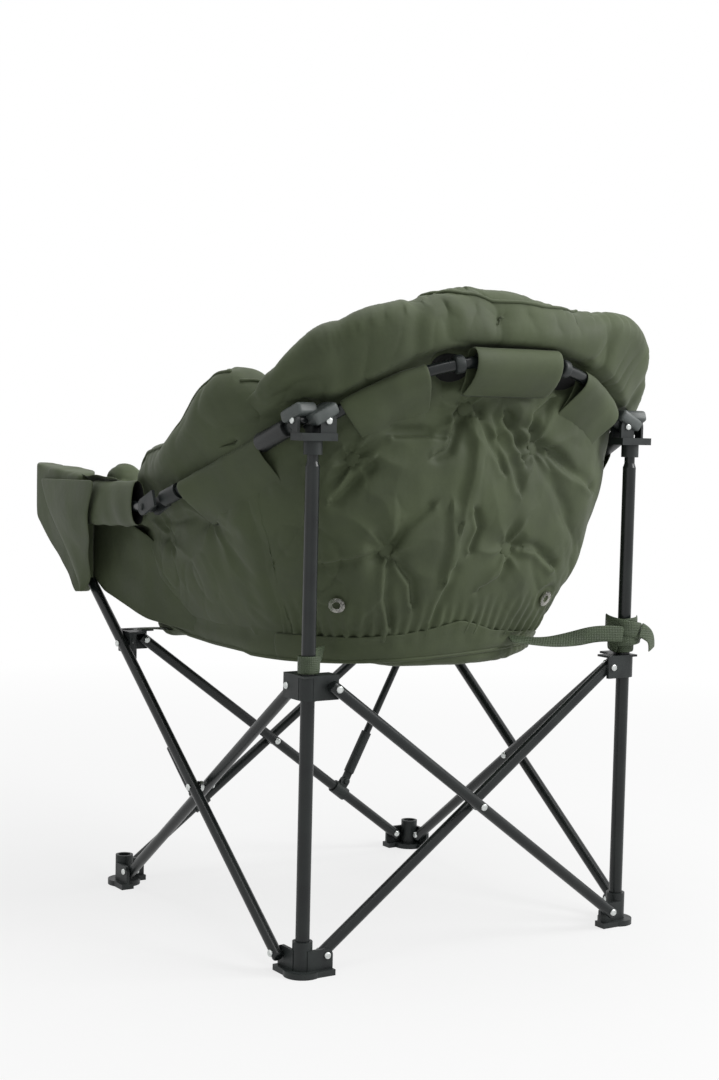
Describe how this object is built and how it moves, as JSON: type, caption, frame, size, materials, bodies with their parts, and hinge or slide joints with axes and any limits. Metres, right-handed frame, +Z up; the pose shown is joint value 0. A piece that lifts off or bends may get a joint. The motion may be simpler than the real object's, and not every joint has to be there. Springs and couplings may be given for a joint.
{
  "type": "camping bucket chair",
  "caption": "Padded bucket seat hung on a square folding X frame with rear uprights, a hinged back hoop, arm links and front struts.",
  "frame": {"origin": "on the floor, below the middle of the open chair's box", "axes": "+Z up, +X to the sitter's left, -Y to the front"},
  "size_m": [0.7188, 0.9023, 0.9061],
  "materials": {
    "tube": "satin powder coat",
    "fitting": "moulded nylon",
    "rivet": "zinc plated",
    "cloth": "padded polyester canvas",
    "webbing": "woven polypropylene",
    "eyelet": "nickel plated"
  },
  "bodies": {
    "rear_left_post": {"rear_left_foot": "fitting", "rear_left_upright": "tube", "rear_left_bracket": "fitting", "rear_left_bracket_rivets": "rivet", "back_cushion": "cloth", "left_side_cushion": "cloth", "eyelets": "eyelet", "centre_flap": "cloth"},
    "left_long_leg": {"left_long_leg": "tube", "left_long_leg_rivets": "rivet", "left_arm_pocket": "cloth"},
    "left_short_leg": {"left_short_leg": "tube", "left_short_leg_rivets": "rivet"},
    "front_left_foot": {"front_left_foot": "fitting"},
    "rear_left_hub": {"rear_left_hub": "fitting", "rear_left_strap": "webbing"},
    "front_left_hub": {"front_left_hub": "fitting", "front_left_strap": "webbing"},
    "back_inner_leg": {"back_inner_leg": "tube", "back_inner_leg_rivets": "rivet"},
    "back_outer_leg": {"back_outer_leg": "tube", "back_outer_leg_rivets": "rivet"},
    "rear_right_post": {"rear_right_foot": "fitting", "rear_right_upright": "tube", "rear_right_bracket": "fitting", "rear_right_bracket_rivets": "rivet", "right_side_cushion": "cloth"},
    "rear_right_hub": {"rear_right_hub": "fitting", "rear_right_strap": "webbing"},
    "front_outer_leg": {"front_outer_leg": "tube", "front_outer_leg_rivets": "rivet"},
    "front_inner_leg": {"front_inner_leg": "tube", "front_inner_leg_rivets": "rivet"},
    "front_right_foot": {"front_right_foot": "fitting"},
    "front_right_hub": {"front_right_hub": "fitting", "front_right_strap": "webbing"},
    "right_long_leg": {"right_long_leg": "tube", "right_long_leg_rivets": "rivet", "right_arm_pocket": "cloth"},
    "right_short_leg": {"right_short_leg": "tube", "right_short_leg_rivets": "rivet"},
    "left_collar": {"left_collar": "fitting"},
    "left_strut_sleeve": {"left_strut_sleeve": "fitting"},
    "left_strut_rod": {"left_strut_rod": "tube"},
    "right_collar": {"right_collar": "fitting"},
    "right_strut_sleeve": {"right_strut_sleeve": "fitting"},
    "right_strut_rod": {"right_strut_rod": "tube"},
    "left_back_tube": {"left_back_tube": "tube", "left_centre_fitting": "fitting", "left_back_sleeve": "cloth"},
    "right_back_tube": {"right_back_tube": "tube", "right_centre_fitting": "fitting", "right_back_sleeve": "cloth"},
    "left_arm_rear": {"left_arm_rear_tube": "tube", "left_knuckle": "fitting"},
    "left_arm_front": {"left_arm_front_tube": "tube"},
    "right_arm_rear": {"right_arm_rear_tube": "tube", "right_knuckle": "fitting"},
    "right_arm_front": {"right_arm_front_tube": "tube"},
    "seat": {"seat_cushion": "cloth"}
  },
  "joints": [
    {"name": "fold", "type": "hinge", "parent": "rear_left_post", "child": "left_long_leg", "pos_m": [0.2928, 0.33055, 0.026], "axis": [-1, 0, 0], "range_deg": [0, 41.36], "deforming": ["back_cushion", "left_side_cushion", "right_side_cushion", "seat_cushion", "left_arm_pocket", "right_arm_pocket", "left_back_sleeve", "right_back_sleeve", "centre_flap", "eyelets", "rear_left_strap", "rear_right_strap", "front_left_strap", "front_right_strap"]},
    {"name": "left_cross", "type": "hinge", "parent": "left_long_leg", "child": "left_short_leg", "pos_m": [0.2928, 0.09055, 0.2045], "axis": [1, 0, 0], "range_deg": [0, 82.74]},
    {"name": "front_left_foot_side", "type": "hinge", "parent": "left_short_leg", "child": "front_left_foot", "pos_m": [0.2712, -0.14945, 0.026], "axis": [-1, 0, 0], "range_deg": [0, 41.38]},
    {"name": "rear_left_hub_side", "type": "hinge", "parent": "left_short_leg", "child": "rear_left_hub", "pos_m": [0.2712, 0.33055, 0.383], "axis": [-1, 0, 0], "range_deg": [0, 41.38]},
    {"name": "front_left_hub_side", "type": "hinge", "parent": "left_long_leg", "child": "front_left_hub", "pos_m": [0.2928, -0.14945, 0.383], "axis": [1, 0, 0], "range_deg": [0, 41.38]},
    {"name": "rear_left_foot_back", "type": "hinge", "parent": "rear_left_post", "child": "back_inner_leg", "pos_m": [0.24, 0.36175, 0.026], "axis": [0, 1, 0], "range_deg": [0, 41.38]},
    {"name": "back_cross", "type": "hinge", "parent": "back_inner_leg", "child": "back_outer_leg", "pos_m": [0, 0.38335, 0.2045], "axis": [0, -1, 0], "range_deg": [0, 82.74]},
    {"name": "rear_right_foot_back", "type": "hinge", "parent": "back_outer_leg", "child": "rear_right_post", "pos_m": [-0.24, 0.38335, 0.026], "axis": [0, 1, 0], "range_deg": [0, 41.38]},
    {"name": "rear_right_hub_back", "type": "hinge", "parent": "back_inner_leg", "child": "rear_right_hub", "pos_m": [-0.24, 0.36175, 0.383], "axis": [0, -1, 0], "range_deg": [0, 41.38]},
    {"name": "front_left_foot_front", "type": "hinge", "parent": "front_left_foot", "child": "front_outer_leg", "pos_m": [0.24, -0.20225, 0.026], "axis": [0, 1, 0], "range_deg": [0, 41.38]},
    {"name": "front_cross", "type": "hinge", "parent": "front_outer_leg", "child": "front_inner_leg", "pos_m": [0, -0.20225, 0.2045], "axis": [0, -1, 0], "range_deg": [0, 82.74]},
    {"name": "front_right_foot_front", "type": "hinge", "parent": "front_inner_leg", "child": "front_right_foot", "pos_m": [-0.24, -0.18065, 0.026], "axis": [0, 1, 0], "range_deg": [0, 41.38]},
    {"name": "front_right_hub_front", "type": "hinge", "parent": "front_outer_leg", "child": "front_right_hub", "pos_m": [-0.24, -0.20225, 0.383], "axis": [0, -1, 0], "range_deg": [0, 41.38]},
    {"name": "rear_right_foot_side", "type": "hinge", "parent": "rear_right_post", "child": "right_long_leg", "pos_m": [-0.2928, 0.33055, 0.026], "axis": [-1, 0, 0], "range_deg": [0, 41.38]},
    {"name": "right_cross", "type": "hinge", "parent": "right_long_leg", "child": "right_short_leg", "pos_m": [-0.2928, 0.09055, 0.2045], "axis": [1, 0, 0], "range_deg": [0, 82.74]},
    {"name": "left_collar_slide", "type": "slide", "parent": "front_outer_leg", "child": "left_collar", "axis": [-0.8024, 0, 0.5968], "range_m": [0, 0.12605]},
    {"name": "left_strut_pivot", "type": "hinge", "parent": "left_collar", "child": "left_strut_sleeve", "pos_m": [0.1368, -0.20225, 0.12519], "axis": [0, -1, 0], "range_deg": [0, 58.4]},
    {"name": "left_strut_slide", "type": "slide", "parent": "left_strut_sleeve", "child": "left_strut_rod", "axis": [0.4636, 0, 0.886], "range_m": [0, 0.0372]},
    {"name": "right_collar_slide", "type": "slide", "parent": "front_inner_leg", "child": "right_collar", "axis": [0.8024, 0, 0.5968], "range_m": [0, 0.12605]},
    {"name": "right_strut_pivot", "type": "hinge", "parent": "right_collar", "child": "right_strut_sleeve", "pos_m": [-0.1368, -0.18065, 0.12519], "axis": [0, 1, 0], "range_deg": [0, 58.4]},
    {"name": "right_strut_slide", "type": "slide", "parent": "right_strut_sleeve", "child": "right_strut_rod", "axis": [-0.4636, 0, 0.886], "range_m": [0, 0.0372]},
    {"name": "left_back_tube_pivot", "type": "hinge", "parent": "rear_left_post", "child": "left_back_tube", "pos_m": [0.254, 0.36055, 0.732], "axis": [0, 1, 0], "range_deg": [0, 59.52]},
    {"name": "right_back_tube_pivot", "type": "hinge", "parent": "rear_right_post", "child": "right_back_tube", "pos_m": [-0.254, 0.36055, 0.732], "axis": [0, -1, 0], "range_deg": [0, 59.52]},
    {"name": "left_arm_pivot", "type": "hinge", "parent": "rear_left_post", "child": "left_arm_rear", "pos_m": [0.282, 0.34855, 0.732], "axis": [1, 0, 0], "range_deg": [0, 25.73]},
    {"name": "left_knuckle_pivot", "type": "hinge", "parent": "left_arm_rear", "child": "left_arm_front", "pos_m": [0.343, 0.03855, 0.603], "axis": [-1, 0, 0], "range_deg": [0, 119.91]},
    {"name": "right_arm_pivot", "type": "hinge", "parent": "rear_right_post", "child": "right_arm_rear", "pos_m": [-0.282, 0.34855, 0.732], "axis": [1, 0, 0], "range_deg": [0, 25.73]},
    {"name": "right_knuckle_pivot", "type": "hinge", "parent": "right_arm_rear", "child": "right_arm_front", "pos_m": [-0.343, 0.03855, 0.603], "axis": [-1, 0, 0], "range_deg": [0, 119.91]},
    {"name": "seat_swing", "type": "hinge", "parent": "rear_left_post", "child": "seat", "pos_m": [0, 0.28255, 0.422], "axis": [-1, 0, 0], "range_deg": [0, 70.02]}
  ],
  "couplings": [
    {"joint": "left_cross", "follows": "fold", "ratio": 2},
    {"joint": "front_left_foot_side", "follows": "fold", "ratio": 1},
    {"joint": "rear_left_hub_side", "follows": "fold", "ratio": 1},
    {"joint": "front_left_hub_side", "follows": "fold", "ratio": 1},
    {"joint": "rear_left_foot_back", "follows": "fold", "ratio": 1},
    {"joint": "back_cross", "follows": "fold", "ratio": 2},
    {"joint": "rear_right_foot_back", "follows": "fold", "ratio": 1},
    {"joint": "rear_right_hub_back", "follows": "fold", "ratio": 1},
    {"joint": "front_left_foot_front", "follows": "fold", "ratio": 1},
    {"joint": "front_cross", "follows": "fold", "ratio": 2},
    {"joint": "front_right_foot_front", "follows": "fold", "ratio": 1},
    {"joint": "front_right_hub_front", "follows": "fold", "ratio": 1},
    {"joint": "rear_right_foot_side", "follows": "fold", "ratio": 1},
    {"joint": "right_cross", "follows": "fold", "ratio": 2},
    {"joint": "left_collar_slide", "follows": "fold", "m_per_rad": 0.17455},
    {"joint": "left_strut_pivot", "follows": "fold", "ratio": 1.4116},
    {"joint": "left_strut_slide", "follows": "fold", "m_per_rad": 0.051466},
    {"joint": "right_collar_slide", "follows": "fold", "m_per_rad": 0.17455},
    {"joint": "right_strut_pivot", "follows": "fold", "ratio": 1.4116},
    {"joint": "right_strut_slide", "follows": "fold", "m_per_rad": 0.051466},
    {"joint": "left_back_tube_pivot", "follows": "fold", "ratio": 1.4386},
    {"joint": "right_back_tube_pivot", "follows": "fold", "ratio": 1.4386},
    {"joint": "left_arm_pivot", "follows": "fold", "ratio": 0.62174},
    {"joint": "left_knuckle_pivot", "follows": "fold", "ratio": 2.8986},
    {"joint": "right_arm_pivot", "follows": "fold", "ratio": 0.62174},
    {"joint": "right_knuckle_pivot", "follows": "fold", "ratio": 2.8986},
    {"joint": "seat_swing", "follows": "fold", "ratio": 1.6925}
  ]
}
